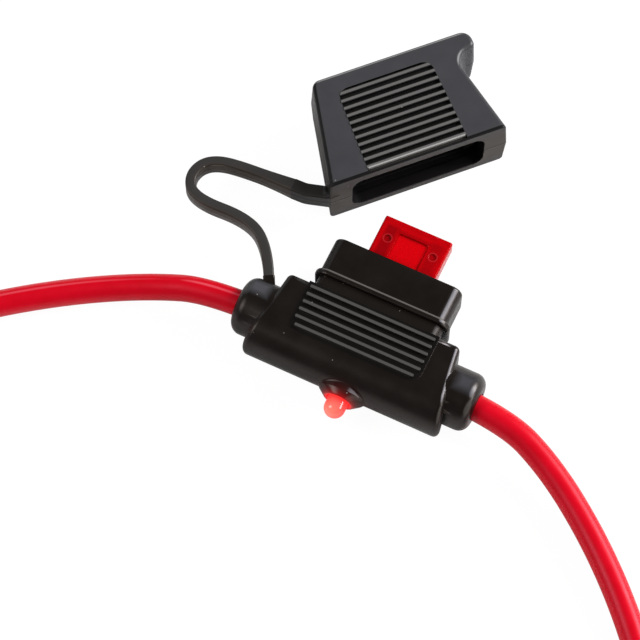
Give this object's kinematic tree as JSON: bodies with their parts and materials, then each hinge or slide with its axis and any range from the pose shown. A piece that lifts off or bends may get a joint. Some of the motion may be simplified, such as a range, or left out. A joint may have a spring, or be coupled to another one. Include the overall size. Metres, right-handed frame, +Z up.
{
  "type": "inline fuse holder",
  "caption": "Black soft moulded inline holder for a standard blade fuse, with ribbed grips, a tethered push-on cap, red leads and an indicator lamp.",
  "frame": {"origin": "on the surface that the holder lies on, below the crossing of the lead axis and the fuse axis", "axes": "+X along the leads, +Y from the lamp towards the fuse, +Z up"},
  "size_m": [0.2396, 0.1612, 0.019],
  "materials": {
    "housing_black": "satin, soft moulded",
    "cap_black": "satin, soft moulded",
    "fuse_red": "clear red plastic",
    "zinc": "stamped and plated",
    "brass": "stamped",
    "copper": "stranded copper",
    "lead_red": "smooth red sleeve",
    "lamp_red": "diffused red lens",
    "wire": "tinned",
    "resistor": "lacquered",
    "die": "bare chip"
  },
  "bodies": {
    "holder": {"housing": "housing_black", "cap_tether": "cap_black", "terminal_left": "brass", "terminal_right": "brass", "lead_left_core": "copper", "lead_right_core": "copper", "lead_left_sleeve": "lead_red", "lead_right_sleeve": "lead_red", "lamp_lens": "lamp_red", "lamp_cathode": "wire", "lamp_anode": "wire", "lamp_die": "die", "lamp_bond": "wire", "resistor_body": "resistor", "resistor_cap_left": "wire", "resistor_cap_right": "wire", "resistor_lead": "wire"},
    "fuse": {"fuse_body": "fuse_red", "fuse_element": "zinc"},
    "cap": {"cap": "cap_black"}
  },
  "joints": [
    {"name": "fuse_pull", "type": "slide", "parent": "holder", "child": "fuse", "axis": [0, 1, 0], "range_m": [0, 0.012]},
    {"name": "cap_swing", "type": "hinge", "parent": "holder", "child": "cap", "pos_m": [-0.01948, 0.0378, 0.0087], "axis": [0, 0, 1], "range_deg": [-46.4, 0], "deforming": ["cap_tether"]}
  ]
}
